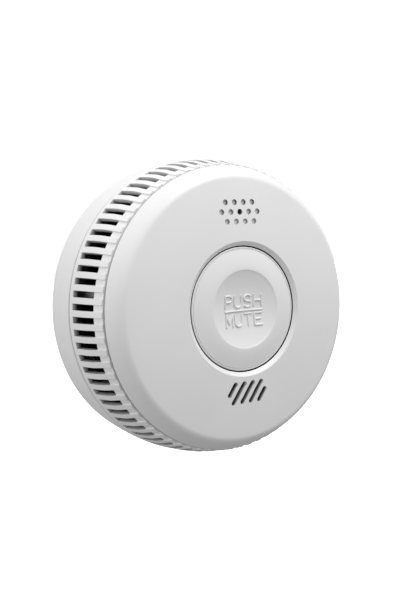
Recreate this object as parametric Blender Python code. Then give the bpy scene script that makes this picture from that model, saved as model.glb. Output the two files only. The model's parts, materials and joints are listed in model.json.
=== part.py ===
"""Round photoelectric smoke alarm on a bayonet wall bracket, built from its separate pieces.

The wall is the plane y = 0 and the alarm stands out of it towards -Y. +Z is up and +X is to the
right of someone facing the alarm. Dimensions are in millimetres and point() turns them into
metres; a "height" is always the distance from the wall.
"""

import math

import bmesh
import bpy
from mathutils import Vector

MM = 0.001

# Outer form: a slightly domed cover, a vent ring and a rear housing
DOME_TOP = 42.37
DOME_CURVE = 257.0
COVER_RADIUS = 46.95
COVER_UNDERSIDE = 38.5
COVER_SEAM = 32.6
REAR_SEAM = 15.3
WIDEST_RADIUS = 49.9
REAR_RADIUS = 49.0
RING_THICKNESS = 1.8
RING_FRONT_RADIUS = 47.6
GAP = 0.3
SHELL_SEGMENTS = 72
BUTTON_SEGMENTS = 60

# Vent ring: slots all round, each followed by a shallow notch that runs out to the cover
SLOT_COUNT = 76
SLOT_SHARE = 0.5
SLOT_PHASE = 0.55
SLOT_REAR = 17.6
SLOT_FRONT = 28.3
NOTCH_DEPTH = 0.4

# Test button and its well in the cover
WELL_RADIUS = 20.45
BEVEL_RADIUS = 21.8
WELL_EDGE = 40.15
BUTTON_RADIUS = 20.05
DISH_RADIUS = 12.45
DISH_EDGE_HEIGHT = 41.8
DISH_CENTRE_HEIGHT = 40.2
BUTTON_TRAVEL = 0.8
STEM_AT = (10.0, 4.0)

# Status light pattern and sounder slots in the cover
DOT_ROWS = ((4, 3.10), (5, 0.0), (4, -3.10))
DOT_PITCH = 3.51
DOT_RADIUS = 0.95
DOT_CENTRE_Z = 31.2
DIMPLE_DEPTH = 1.0
SOUND_SLOT_PITCH = 3.41
SOUND_SLOT_WIDTH = 1.5
SOUND_SLOT_TOP = -24.4
SOUND_SLOT_BOTTOM = -29.6
SOUND_SLOT_SLOPE = 0.70

# Bayonet between bracket and alarm: three hooks, each in an arc-shaped slot
TWIST = 15.0
HOOK_ANGLES = (-22.0, 98.0, 218.0)
HOOK_WIDTH = 8.0
HOOK_STEM = (41.7, 43.7)
HOOK_HEAD_INNER = 39.7
BRACKET_THICKNESS = 1.9
BRACKET_RADIUS = 48.7
BACK_WALL = (2.6, 4.4)

# Wall screw keyholes in the bracket
KEYHOLE_SPACING = 60.0
KEYHOLE_HEAD_RADIUS = 4.2
KEYHOLE_SLOT_WIDTH = 4.6
KEYHOLE_RISE = 10.0

# Screws that hold the cover to the rear housing
SCREW_CIRCLE = 41.3
SCREW_ANGLES = (50.0, 170.0, 290.0)
POST_RADIUS = 2.7
SCREW_HOLE_RADIUS = 1.3
SCREW_HEAD_RADIUS = 2.2
SCREW_SHANK_RADIUS = 1.0

# 9 V battery lying in a bay that is open towards the wall
BATTERY_LENGTH = 46.4
BATTERY_WIDTH = 26.5
BATTERY_DEPTH = 17.5
BATTERY_LEFT = -24.9
BATTERY_CENTRE_Z = -20.75
BATTERY_REAR = 3.2
TERMINAL_OFFSET = 6.35
TERMINAL_LENGTH = 3.2
BAY_END = 26.9
BAY_CLEARANCE = 0.35
BAY_WALL = 1.3
CONTACT_X = (25.0, 25.5)

# Circuit board and the smoke chamber that stands on it
BOARD_RADIUS = 37.0
BOARD_EDGE_Z = -5.4
BOARD_HEIGHTS = (8.2, 9.8)
BOARD_FACE = 10.1
CHAMBER_AT = (-18.0, 14.0)
CHAMBER_RADIUS = 18.0
CHAMBER_TOP = 27.2
VANE_COUNT = 20

# Sounder
HORN_AT = (0.0, -26.5)
HORN_RADIUS = 14.0


# ---------------------------------------------------------------- scene and mesh helpers


def clear_scene():
    for obj in list(bpy.data.objects):
        bpy.data.objects.remove(obj, do_unlink=True)


def point(x, height, z):
    return Vector((x, -height, z)) * MM


def around(radius, degrees, height):
    angle = math.radians(degrees)
    return point(radius * math.cos(angle), height, radius * math.sin(angle))


def on_circle(radius, degrees):
    angle = math.radians(degrees)
    return radius * math.cos(angle), radius * math.sin(angle)


def make_material(name, colour, roughness, metallic=0.0):
    material = bpy.data.materials.new(name)
    material.use_nodes = True
    shader = material.node_tree.nodes["Principled BSDF"]
    shader.inputs["Base Color"].default_value = (*colour, 1.0)
    shader.inputs["Roughness"].default_value = roughness
    shader.inputs["Metallic"].default_value = metallic
    material.diffuse_color = (*colour, 1.0)
    return material


def make_object(name, bm, material=None, at=(0.0, 0.0)):
    """Closes the bmesh into an object whose faces point out, standing at (x, z) on the wall plane."""
    bmesh.ops.recalc_face_normals(bm, faces=bm.faces)
    if bm.calc_volume(signed=True) < 0:
        bmesh.ops.reverse_faces(bm, faces=bm.faces)
    mesh = bpy.data.meshes.new(name)
    bm.to_mesh(mesh)
    bm.free()
    mesh.shade_smooth()
    mesh.set_sharp_from_angle(angle=math.radians(32))
    obj = bpy.data.objects.new(name, mesh)
    obj.location = point(at[0], 0.0, at[1])
    bpy.context.scene.collection.objects.link(obj)
    if material:
        mesh.materials.append(material)
    return obj


def add_turned(bm, profile, segments, at=(0.0, 0.0)):
    """Turns a closed (radius, height) outline about the depth axis through (x, z)."""
    offset = point(at[0], 0.0, at[1])
    rings = []
    for radius, height in profile:
        if radius == 0:
            rings.append([bm.verts.new(point(0, height, 0) + offset)] * segments)
            continue
        rings.append(
            [bm.verts.new(around(radius, 360 * i / segments, height) + offset) for i in range(segments)]
        )
    for ring, following in zip(rings, rings[1:] + rings[:1]):
        for i in range(segments):
            j = (i + 1) % segments
            corners = list(dict.fromkeys((ring[i], ring[j], following[j], following[i])))
            if len(corners) > 2:
                bm.faces.new(corners)


def add_loft(bm, bottom, top):
    """Closes two matching loops of points into a solid."""
    low = [bm.verts.new(p) for p in bottom]
    high = [bm.verts.new(p) for p in top]
    bm.faces.new(low[::-1])
    bm.faces.new(high)
    for i in range(len(low)):
        j = (i + 1) % len(low)
        bm.faces.new((low[i], low[j], high[j], high[i]))


def add_prism(bm, outline, low, high):
    """Extrudes an (x, z) outline between two heights."""
    add_loft(bm, [point(x, low, z) for x, z in outline], [point(x, high, z) for x, z in outline])


def add_box(bm, x_range, height_range, z_range):
    outline = [(x_range[i], z_range[j]) for i, j in ((0, 0), (1, 0), (1, 1), (0, 1))]
    add_prism(bm, outline, *height_range)


def add_arc_solid(bm, section, start, end, steps):
    """Sweeps a (radius, height) section through part of a turn."""
    loops = []
    for i in range(steps + 1):
        degrees = start + (end - start) * i / steps
        loops.append([bm.verts.new(around(r, degrees, h)) for r, h in section])
    bm.faces.new(loops[0][::-1])
    bm.faces.new(loops[-1])
    for loop, following in zip(loops, loops[1:]):
        for i in range(len(section)):
            j = (i + 1) % len(section)
            bm.faces.new((loop[i], loop[j], following[j], following[i]))


def turned(name, profile, material, segments=24, at=(0.0, 0.0)):
    bm = bmesh.new()
    add_turned(bm, profile, segments)
    return make_object(name, bm, material, at)


def rod(name, radius, low, high, material, segments=16, at=(0.0, 0.0)):
    return turned(name, cylinder_profile(radius, low, high), material, segments, at)


def cylinder_profile(radius, low, high):
    return [(0, high), (radius, high), (radius, low), (0, low)]


def tube_profile(outer, inner, low, high):
    return [(outer, high), (outer, low), (inner, low), (inner, high)]


def box(name, x_range, height_range, z_range, material):
    bm = bmesh.new()
    add_box(bm, x_range, height_range, z_range)
    return make_object(name, bm, material)


def round_edges(obj, width, segments=2):
    bevel = obj.modifiers.new("rounded edges", "BEVEL")
    bevel.width = width * MM
    bevel.segments = segments
    bevel.limit_method = "ANGLE"


def combine(piece, helper, operation):
    helper.hide_render = True
    helper.display_type = "WIRE"
    modifier = piece.modifiers.new(helper.name, "BOOLEAN")
    modifier.operation = operation
    modifier.object = helper


def cut(piece, name, bm):
    combine(piece, make_object(name, bm), "DIFFERENCE")


def add_to(piece, name, bm):
    combine(piece, make_object(name, bm), "UNION")


def pivot(name, x, height, z, parent=None):
    """An empty on a joint's axis, which the pieces that move together hang from."""
    empty = bpy.data.objects.new(name, None)
    empty.location = point(x, height, z)
    bpy.context.scene.collection.objects.link(empty)
    if parent:
        hang(empty, parent)
    return empty


def hang(obj, parent):
    """Parents without moving the object. Pivots only shift, so their offset is undone by hand."""
    obj.parent = parent
    bpy.context.view_layer.update()
    obj.matrix_parent_inverse = parent.matrix_world.inverted()


# ---------------------------------------------------------------- materials


def make_materials():
    return {
        "shell": make_material("white_abs", (0.80, 0.80, 0.80), 0.42),
        "button": make_material("white_abs_button", (0.80, 0.80, 0.80), 0.40),
        "bracket": make_material("white_abs_bracket", (0.76, 0.76, 0.76), 0.50),
        "board": make_material("green_board", (0.03, 0.20, 0.09), 0.45),
        "black": make_material("black_plastic", (0.02, 0.02, 0.02), 0.55),
        "mesh": make_material("screen_steel", (0.30, 0.30, 0.31), 0.40, 1.0),
        "steel": make_material("zinc_steel", (0.62, 0.62, 0.60), 0.32, 1.0),
        "brass": make_material("piezo_brass", (0.72, 0.52, 0.22), 0.30, 1.0),
        "clear": make_material("clear_acrylic", (0.85, 0.88, 0.90), 0.10),
        "red": make_material("red_lens", (0.60, 0.03, 0.02), 0.20),
        "battery": make_material("battery_wrap", (0.05, 0.06, 0.08), 0.35, 0.3),
        "red_wire": make_material("red_wire", (0.55, 0.03, 0.02), 0.50),
        "black_wire": make_material("black_wire", (0.02, 0.02, 0.02), 0.50),
    }


# ---------------------------------------------------------------- casing


def build_mounting_bracket(materials):
    """Wall plate with a rolled rim, two keyholes and three bayonet hooks."""
    thickness = BRACKET_THICKNESS
    profile = [
        (0, thickness),
        (BRACKET_RADIUS - 0.5, thickness),
        (BRACKET_RADIUS, thickness - 0.4),
        (BRACKET_RADIUS, 0.3),
        (BRACKET_RADIUS - 0.3, 0),
        (0, 0),
    ]
    bracket = turned("mounting_bracket", profile, materials["bracket"], SHELL_SEGMENTS)

    stem_inner, stem_outer = HOOK_STEM
    head_low = BACK_WALL[1] + GAP
    head_high = head_low + 1.6
    section = [
        (stem_inner, thickness - 0.9),
        (stem_outer, thickness - 0.9),
        (stem_outer, head_high),
        (HOOK_HEAD_INNER, head_high),
        (HOOK_HEAD_INNER, head_low),
        (stem_inner, head_low),
    ]
    hooks = bmesh.new()
    for centre in HOOK_ANGLES:
        add_arc_solid(hooks, section, centre - HOOK_WIDTH / 2, centre + HOOK_WIDTH / 2, 3)
    add_to(bracket, "bayonet_hooks", hooks)

    keyholes = bmesh.new()
    for side in (-1, 1):
        add_prism(keyholes, keyhole_outline(side * KEYHOLE_SPACING / 2), -1, thickness + 1)
    cut(bracket, "keyholes", keyholes)
    return bracket


def keyhole_outline(x):
    """A round hole for the screw's head with a narrow slot rising from it."""
    half = KEYHOLE_SLOT_WIDTH / 2
    corner = math.degrees(math.acos(half / KEYHOLE_HEAD_RADIUS))
    sweep = 180 + 2 * corner
    outline = []
    for i in range(15):
        dx, dz = on_circle(KEYHOLE_HEAD_RADIUS, 180 - corner + sweep * i / 14)
        outline.append((x + dx, dz))
    for i in range(7):
        dx, dz = on_circle(half, 180 * i / 6)
        outline.append((x + dx, KEYHOLE_RISE + dz))
    return outline


def build_rear_housing(materials):
    """Cup with the battery bay, board pillars, screw bosses and bayonet slots."""
    wall_low, wall_high = BACK_WALL
    spigot_outer, spigot_inner, spigot_top = 47.6, 45.8, REAR_SEAM + 1.7
    profile = [
        (0, wall_low),
        (46.0, wall_low),
        (46.5, wall_low - 0.4),
        (REAR_RADIUS - 0.4, wall_low - 0.4),
        (REAR_RADIUS, wall_low),
        (WIDEST_RADIUS - 0.35, 9.0),
        (WIDEST_RADIUS, REAR_SEAM - 0.4),
        (WIDEST_RADIUS - 0.25, REAR_SEAM),
        (spigot_outer, REAR_SEAM),
        (spigot_outer, spigot_top),
        (spigot_inner, spigot_top),
        (spigot_inner, wall_high),
        (0, wall_high),
    ]
    housing = turned("rear_housing", profile, materials["shell"], SHELL_SEGMENTS)

    bay_x, bay_heights, bay_z = bay_ranges()
    outside = bmesh.new()
    add_box(
        outside,
        (bay_x[0] - BAY_WALL, bay_x[1] + BAY_WALL),
        (wall_low + 0.5, bay_heights[1] + BAY_WALL),
        (bay_z[0] - BAY_WALL, bay_z[1] + BAY_WALL),
    )
    add_to(housing, "bay_outside", outside)

    bosses = bmesh.new()
    for degrees in SCREW_ANGLES:
        add_turned(bosses, cylinder_profile(3.0, wall_high - 0.6, 12.0), 14, on_circle(SCREW_CIRCLE, degrees))
    for x, z in ((29.0, 20.0), (-31.0, 4.0), (4.0, 33.0)):
        add_turned(bosses, cylinder_profile(2.2, wall_high - 0.6, BOARD_HEIGHTS[0] - GAP), 10, (x, z))
    add_to(housing, "bosses_and_pillars", bosses)

    inside = bmesh.new()
    add_box(inside, bay_x, (wall_low - 2, bay_heights[1]), bay_z)
    cut(housing, "bay_inside", inside)

    openings = bmesh.new()
    for centre in HOOK_ANGLES:
        add_prism(openings, bayonet_slot_outline(centre), wall_low - 1, wall_high + 1)
    cut(housing, "bayonet_slots", openings)

    holes = bmesh.new()
    for degrees in SCREW_ANGLES:
        stepped = [
            (0, 13.0),
            (SCREW_HOLE_RADIUS, 13.0),
            (SCREW_HOLE_RADIUS, 5.4),
            (2.5, 5.4),
            (2.5, wall_low - 1),
            (0, wall_low - 1),
        ]
        add_turned(holes, stepped, 12, on_circle(SCREW_CIRCLE, degrees))
    for low, high in ((10.7, 13.3), (17.1, 19.7)):
        add_box(holes, (CONTACT_X[0] - 0.4, CONTACT_X[1] + 0.4), (low, high), (bay_z[1] - 0.6, bay_z[1] + 2))
    cut(housing, "screw_holes_and_contact_slits", holes)
    return housing


def bay_ranges():
    """Inside of the battery bay as (x, height, z) ranges."""
    half = BATTERY_WIDTH / 2 + BAY_CLEARANCE
    return (
        (BATTERY_LEFT - BAY_CLEARANCE, BAY_END),
        (BACK_WALL[0], BATTERY_REAR + BATTERY_DEPTH + BAY_CLEARANCE),
        (BATTERY_CENTRE_Z - half, BATTERY_CENTRE_Z + half),
    )


def bayonet_slot_outline(hook_angle):
    """Arc slot: narrow where the hook locks, wide where its head passes after the twist."""
    slack = 1.2
    half = HOOK_WIDTH / 2 + slack
    outer = HOOK_STEM[1] + GAP
    narrow = HOOK_STEM[0] - GAP
    wide = HOOK_HEAD_INNER - GAP
    start = hook_angle - TWIST - half
    step = start + 2 * half
    end = hook_angle + half
    steps = 4
    outline = [on_circle(outer, start + (end - start) * i / steps) for i in range(steps + 1)]
    outline += [on_circle(narrow, end + (step - end) * i / steps) for i in range(steps + 1)]
    outline += [on_circle(wide, step + (start - step) * i / 2) for i in range(3)]
    return outline


def build_vent_ring(materials):
    """Ring of ribs. Every second sector is a through slot with a notch ahead of it."""
    stations = (
        (REAR_SEAM + GAP, WIDEST_RADIUS - 0.1),
        (SLOT_REAR, WIDEST_RADIUS - 0.2),
        (23.3, WIDEST_RADIUS - 0.7),
        (SLOT_FRONT, RING_FRONT_RADIUS + 0.85),
        (COVER_SEAM, RING_FRONT_RADIUS),
    )
    pitch = 360 / SLOT_COUNT
    slot_half = pitch * SLOT_SHARE / 2
    bm = bmesh.new()
    corners = []
    for index in range(2 * SLOT_COUNT):
        slot, side = divmod(index, 2)
        degrees = SLOT_PHASE + slot * pitch + (slot_half if side else -slot_half)
        inner = [bm.verts.new(around(r - RING_THICKNESS, degrees, h)) for h, r in stations]
        outer = [bm.verts.new(around(r, degrees, h)) for h, r in stations]
        notch = [bm.verts.new(around(r - NOTCH_DEPTH, degrees, h)) for h, r in stations[3:]]
        corners.append((inner, outer, notch))

    for index, (inner, outer, notch) in enumerate(corners):
        inner_next, outer_next, notch_next = corners[(index + 1) % len(corners)]
        in_slot = index % 2 == 0
        for s in (0, 3) if in_slot else range(4):
            bm.faces.new((inner[s], inner[s + 1], inner_next[s + 1], inner_next[s]))
        for s in (0,) if in_slot else range(4):
            bm.faces.new((outer[s], outer_next[s], outer_next[s + 1], outer[s + 1]))
        bm.faces.new((inner[0], inner_next[0], outer_next[0], outer[0]))
        if in_slot:
            bm.faces.new((outer[1], outer_next[1], inner_next[1], inner[1]))
            bm.faces.new((inner[3], inner_next[3], notch_next[0], notch[0]))
            bm.faces.new((notch[0], notch_next[0], notch_next[1], notch[1]))
            bm.faces.new((inner[4], notch[1], notch_next[1], inner_next[4]))
        else:
            bm.faces.new(
                (inner[4], notch[1], outer[4], outer_next[4], notch_next[1], inner_next[4])
            )
        bm.faces.new((inner[1], outer[1], outer[2], outer[3], notch[0], inner[3], inner[2]))
        bm.faces.new((outer[3], outer[4], notch[1], notch[0]))
    return make_object("vent_ring", bm, materials["shell"])


def build_front_cover(materials):
    """Domed front with the button well, light dimples, sounder slots and screw posts."""
    lip = COVER_SEAM + GAP
    profile = [(r, dome_height(r)) for r in (BEVEL_RADIUS, 30.0, 36.0, 41.0)]
    profile += [
        (43.0, 38.45),
        (44.5, 37.15),
        (45.7, 35.5),
        (46.5, 34.2),
        (COVER_RADIUS, 33.2),
        (46.6, lip),
        (45.4, lip),
        (45.4, COVER_SEAM - 2.2),
        (43.6, COVER_SEAM - 2.2),
        (43.6, 34.6),
        (41.0, 36.6),
        (38.0, 37.2),
        (32.0, COVER_UNDERSIDE),
        (WELL_RADIUS + 1.15, COVER_UNDERSIDE),
        (WELL_RADIUS + 1.15, COVER_UNDERSIDE - 1.9),
        (WELL_RADIUS, COVER_UNDERSIDE - 1.9),
        (WELL_RADIUS, WELL_EDGE),
    ]
    cover = turned("front_cover", profile, materials["shell"], SHELL_SEGMENTS)

    posts = bmesh.new()
    for degrees in SCREW_ANGLES:
        add_turned(posts, cylinder_profile(POST_RADIUS, 12.3, 37.3), 14, on_circle(SCREW_CIRCLE, degrees))
    add_to(cover, "screw_posts", posts)

    holes = bmesh.new()
    for degrees in SCREW_ANGLES:
        hole = cylinder_profile(SCREW_HOLE_RADIUS, 11.0, 20.0)
        add_turned(holes, hole, 10, on_circle(SCREW_CIRCLE, degrees))
    for x, z in dot_positions():
        floor = dome_height(math.hypot(x, z)) - DIMPLE_DEPTH
        if (x, z) == (0, DOT_CENTRE_Z):
            floor = COVER_UNDERSIDE - 1
        add_turned(holes, cylinder_profile(DOT_RADIUS, floor, DOME_TOP), 10, (x, z))
    for outline in sound_slot_outlines():
        add_prism(holes, outline, COVER_UNDERSIDE - 1, DOME_TOP)
    cut(cover, "cover_holes", holes)
    return cover


def dome_height(radius):
    """Height of the cover's domed face."""
    return DOME_TOP - radius**2 / (2 * DOME_CURVE)


def dot_positions():
    places = []
    for count, rise in DOT_ROWS:
        for i in range(count):
            places.append(((i - (count - 1) / 2) * DOT_PITCH, DOT_CENTRE_Z + rise))
    return places


def sound_slot_outlines():
    """Five slanted slots with round ends. The outer two are cut short at opposite ends."""
    middle = (SOUND_SLOT_TOP + SOUND_SLOT_BOTTOM) / 2
    length = SOUND_SLOT_TOP - SOUND_SLOT_BOTTOM
    lean = math.degrees(math.atan2(1.0, SOUND_SLOT_SLOPE))
    outlines = []
    for i in range(-2, 3):
        top = SOUND_SLOT_TOP - (0.45 * length if i == 2 else 0)
        bottom = SOUND_SLOT_BOTTOM + (0.45 * length if i == -2 else 0)
        outline = []
        for z, start in ((top, lean - 90), (bottom, lean + 90)):
            x = i * SOUND_SLOT_PITCH + (z - middle) * SOUND_SLOT_SLOPE
            for k in range(5):
                dx, dz = on_circle(SOUND_SLOT_WIDTH / 2, start + 180 * k / 4)
                outline.append((x + dx, z + dz))
        outlines.append(outline)
    return outlines


def build_test_button(materials):
    """Round cap with a raised shoulder, a shallow dish and a stem that reaches the switch."""
    plate = COVER_UNDERSIDE + 0.1
    skirt = plate - 1.4
    dish = []
    for i in range(4):
        share = i / 4
        height = DISH_CENTRE_HEIGHT + (DISH_EDGE_HEIGHT - 0.15 - DISH_CENTRE_HEIGHT) * share**2
        dish.append((DISH_RADIUS * share, height))
    profile = dish + [
        (DISH_RADIUS - 0.4, DISH_EDGE_HEIGHT - 0.15),
        (DISH_RADIUS, DISH_EDGE_HEIGHT),
        (15.5, 41.5),
        (18.0, 41.0),
        (19.5, 40.5),
        (BUTTON_RADIUS, 40.0),
        (BUTTON_RADIUS, skirt),
        (BUTTON_RADIUS - 1.2, skirt),
        (BUTTON_RADIUS - 1.2, plate),
        (0, plate),
    ]
    button = turned("test_button", profile, materials["button"], BUTTON_SEGMENTS)
    stem = bmesh.new()
    add_turned(stem, cylinder_profile(2.0, 17.5, plate + 0.6), 12, STEM_AT)
    add_to(button, "button_stem", stem)
    return button


def build_screws(materials):
    profile = [
        (0, 18.0),
        (SCREW_SHANK_RADIUS * 0.4, 18.0),
        (SCREW_SHANK_RADIUS, 16.6),
        (SCREW_SHANK_RADIUS, 5.1),
        (SCREW_HEAD_RADIUS, 5.1),
        (SCREW_HEAD_RADIUS, 3.9),
        (1.4, 3.3),
        (0, 3.3),
    ]
    return [
        turned(f"housing_screw_{i + 1}", profile, materials["steel"], 14, on_circle(SCREW_CIRCLE, degrees))
        for i, degrees in enumerate(SCREW_ANGLES)
    ]


# ---------------------------------------------------------------- board and electronics


def build_circuit_board(materials):
    """Board with a round upper edge and a straight lower edge along the battery bay."""
    start = math.degrees(math.asin(BOARD_EDGE_Z / BOARD_RADIUS))
    sweep = 180 - 2 * start
    outline = [on_circle(BOARD_RADIUS, start + sweep * i / 30) for i in range(31)]
    bm = bmesh.new()
    add_prism(bm, outline, *BOARD_HEIGHTS)
    return make_object("circuit_board", bm, materials["board"])


def build_electronics(materials):
    black, steel = materials["black"], materials["steel"]
    face = BOARD_FACE
    chip = box("microcontroller", (10.0, 19.5), (face, face + 1.8), (13.0, 20.0), black)
    coil_profile = [
        (0, face + 9.0),
        (4.6, face + 9.0),
        (4.6, face + 7.8),
        (3.6, face + 7.8),
        (3.6, face + 1.2),
        (4.6, face + 1.2),
        (4.6, face),
        (0, face),
    ]
    coil = turned("horn_coil", coil_profile, materials["brass"], 20, (24.0, 9.0))
    large = capacitor("capacitor_large", 4.0, 11.0, (25.5, 22.0), black)
    small = capacitor("capacitor_small", 2.5, 7.0, (13.0, 27.5), black)
    case = [on_circle(2.3, -30 + 240 * i / 10) for i in range(11)]
    bm = bmesh.new()
    add_prism(bm, [(x + 17.5, z + 5.0) for x, z in case], face, face + 5.0)
    transistor = make_object("transistor", bm, black)
    body = box("switch_body", *switch_ranges(face), steel)
    led_profile = [
        (0, face + 4.4),
        (0.9, face + 4.1),
        (1.5, face + 3.2),
        (1.5, face + 0.9),
        (1.9, face + 0.9),
        (1.9, face),
        (0, face),
    ]
    led = turned("status_led", led_profile, materials["red"], 14, (0.0, DOT_CENTRE_Z))
    pipe = rod("light_pipe", 1.4, face + 4.8, 37.8, materials["clear"], 14, (0.0, DOT_CENTRE_Z))
    return [chip, coil, large, small, transistor, body, led, pipe]


def capacitor(name, radius, length, at, material):
    """Electrolytic can with a rolled neck near its foot."""
    base = BOARD_FACE
    profile = [
        (0, base + length),
        (radius - 0.4, base + length),
        (radius, base + length - 0.4),
        (radius, base + 2.0),
        (radius - 0.3, base + 1.6),
        (radius, base + 1.2),
        (radius, base),
        (0, base),
    ]
    return turned(name, profile, material, 18, at)


def switch_ranges(face):
    x, z = STEM_AT
    return (x - 3.0, x + 3.0), (face, face + 3.2), (z - 3.0, z + 3.0)


def build_switch_plunger(materials):
    """Plunger between the switch body and the button's stem, with room below for its travel."""
    low = BOARD_FACE + 3.2 + BUTTON_TRAVEL + GAP
    return rod("switch_plunger", 1.7, low, 17.2, materials["black"], 14, STEM_AT)


# ---------------------------------------------------------------- smoke chamber


def build_smoke_chamber(materials):
    """Base with labyrinth vanes, insect screen round them, lid, light source and receiver."""
    black = materials["black"]
    floor_high = BOARD_FACE + 1.2
    base_profile = cylinder_profile(CHAMBER_RADIUS, BOARD_FACE, floor_high)
    base = turned("chamber_base", base_profile, black, 40, CHAMBER_AT)

    vanes = bmesh.new()
    for i in range(VANE_COUNT):
        add_prism(vanes, vane_outline(360 * i / VANE_COUNT), floor_high - 0.4, CHAMBER_TOP - 1.6)
    vane_helper = make_object("labyrinth_vanes", vanes, None, CHAMBER_AT)
    combine(base, vane_helper, "UNION")

    lid_low = CHAMBER_TOP - 1.3
    lid_profile = [
        (0, CHAMBER_TOP),
        (CHAMBER_RADIUS - 1.0, CHAMBER_TOP),
        (CHAMBER_RADIUS, CHAMBER_TOP - 0.5),
        (CHAMBER_RADIUS, lid_low),
        (0, lid_low),
    ]
    lid = turned("chamber_lid", lid_profile, black, 40, CHAMBER_AT)
    screen_profile = tube_profile(17.6, 17.2, floor_high + GAP, lid_low - GAP)
    screen = turned("insect_screen", screen_profile, materials["mesh"], 40, CHAMBER_AT)

    sensors = [
        sensor("infrared_led", 200.0, materials["clear"]),
        sensor("photodiode", 335.0, black),
    ]
    return [base, lid, screen] + sensors


def vane_outline(degrees):
    """A thin bar set at a slant to the radius, so that light can't pass straight in."""
    slant = 50.0
    length, thickness = 4.6, 0.9
    cx, cz = on_circle(14.2, degrees)
    ax, az = on_circle(length / 2, degrees + slant)
    bx, bz = on_circle(thickness / 2, degrees + slant + 90)
    return [
        (cx - ax - bx, cz - az - bz),
        (cx + ax - bx, cz + az - bz),
        (cx + ax + bx, cz + az + bz),
        (cx - ax + bx, cz - az + bz),
    ]


def sensor(name, degrees, material):
    """A round-nosed optical part lying in the chamber and aimed at its middle."""
    profile = [
        (0, 7.6),
        (1.3, 7.2),
        (2.1, 6.2),
        (2.4, 5.0),
        (2.4, 1.0),
        (2.8, 1.0),
        (2.8, 0),
        (0, 0),
    ]
    obj = turned(name, profile, material, 16)
    x, z = on_circle(11.2, degrees)
    obj.location = point(CHAMBER_AT[0] + x, BOARD_FACE + 7.0, CHAMBER_AT[1] + z)
    inward = Vector((-x, 0.0, -z)).normalized()
    obj.rotation_mode = "QUATERNION"
    obj.rotation_quaternion = Vector((0.0, -1.0, 0.0)).rotation_difference(inward)
    return obj


# ---------------------------------------------------------------- sounder


def build_sounder(materials):
    black = materials["black"]
    cap_low, cap_high = 23.2, 25.4
    disc_low, disc_high = 25.7, 26.1
    tube_low, tube_high = 26.4, 35.2
    cap_profile = [
        (0, cap_low + 1.0),
        (11.5, cap_low + 1.0),
        (11.5, cap_high),
        (HORN_RADIUS, cap_high),
        (HORN_RADIUS, cap_low),
        (0, cap_low),
    ]
    cap = turned("horn_cap", cap_profile, black, 32, HORN_AT)
    disc_profile = cylinder_profile(12.6, disc_low, disc_high)
    disc = turned("piezo_disc", disc_profile, materials["brass"], 32, HORN_AT)
    port = 4.0
    chamber_profile = [
        (port, tube_high),
        (HORN_RADIUS, tube_high),
        (HORN_RADIUS, tube_low),
        (HORN_RADIUS - 1.3, tube_low),
        (HORN_RADIUS - 1.3, tube_high - 1.2),
        (port, tube_high - 1.2),
    ]
    chamber = turned("horn_chamber", chamber_profile, black, 32, HORN_AT)
    wires = [
        horn_wire("horn_wire_red", -2.0, materials["red_wire"]),
        horn_wire("horn_wire_black", 1.5, materials["black_wire"]),
    ]
    return [cap, disc, chamber] + wires


def horn_wire(name, x, material):
    """Wire from the side of the sounder's cap, over the battery bay, down to the board."""
    ends = (
        Vector((24.4, HORN_AT[1] + HORN_RADIUS + 0.6)),
        Vector((24.6, -4.0)),
        Vector((27.0, -3.4)),
        Vector((BOARD_FACE + 0.1, -3.4)),
    )
    count = 14
    curve = bpy.data.curves.new(name, "CURVE")
    curve.dimensions = "3D"
    curve.bevel_depth = 0.5 * MM
    curve.bevel_resolution = 2
    curve.use_fill_caps = True
    spline = curve.splines.new("POLY")
    spline.points.add(count - 1)
    for i, spline_point in enumerate(spline.points):
        t = i / (count - 1)
        weights = ((1 - t) ** 3, 3 * t * (1 - t) ** 2, 3 * t * t * (1 - t), t**3)
        height, z = sum((w * end for w, end in zip(weights, ends)), Vector((0.0, 0.0)))
        spline_point.co = (*point(x, height, z), 1.0)
    curve.materials.append(material)
    obj = bpy.data.objects.new(name, curve)
    bpy.context.scene.collection.objects.link(obj)
    return obj


# ---------------------------------------------------------------- battery


def build_battery(materials):
    steel = materials["steel"]
    half = BATTERY_WIDTH / 2
    right = BATTERY_LEFT + BATTERY_LENGTH
    case = box(
        "battery_case",
        (BATTERY_LEFT, right),
        (BATTERY_REAR, BATTERY_REAR + BATTERY_DEPTH),
        (BATTERY_CENTRE_Z - half, BATTERY_CENTRE_Z + half),
        materials["battery"],
    )
    round_edges(case, 1.6)
    middle = BATTERY_REAR + BATTERY_DEPTH / 2
    studs = [
        terminal("battery_positive_stud", 2.8, BATTERY_CENTRE_Z + TERMINAL_OFFSET, middle, right, steel),
        terminal("battery_negative_stud", 3.9, BATTERY_CENTRE_Z - TERMINAL_OFFSET, middle, right, steel),
    ]
    return [case] + studs + build_contacts(materials, middle)


def terminal(name, radius, z, height, case_end, material):
    """Snap terminal standing off the end of the battery, its axis along +X."""
    profile = [
        (0, TERMINAL_LENGTH - GAP),
        (radius, TERMINAL_LENGTH - GAP),
        (radius - 0.4, TERMINAL_LENGTH / 2),
        (radius, GAP),
        (0, GAP),
    ]
    stud = turned(name, profile, material, 16)
    stud.location = point(case_end, height, z)
    stud.rotation_mode = "QUATERNION"
    stud.rotation_quaternion = Vector((0.0, -1.0, 0.0)).rotation_difference(Vector((1.0, 0.0, 0.0)))
    return stud


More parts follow.
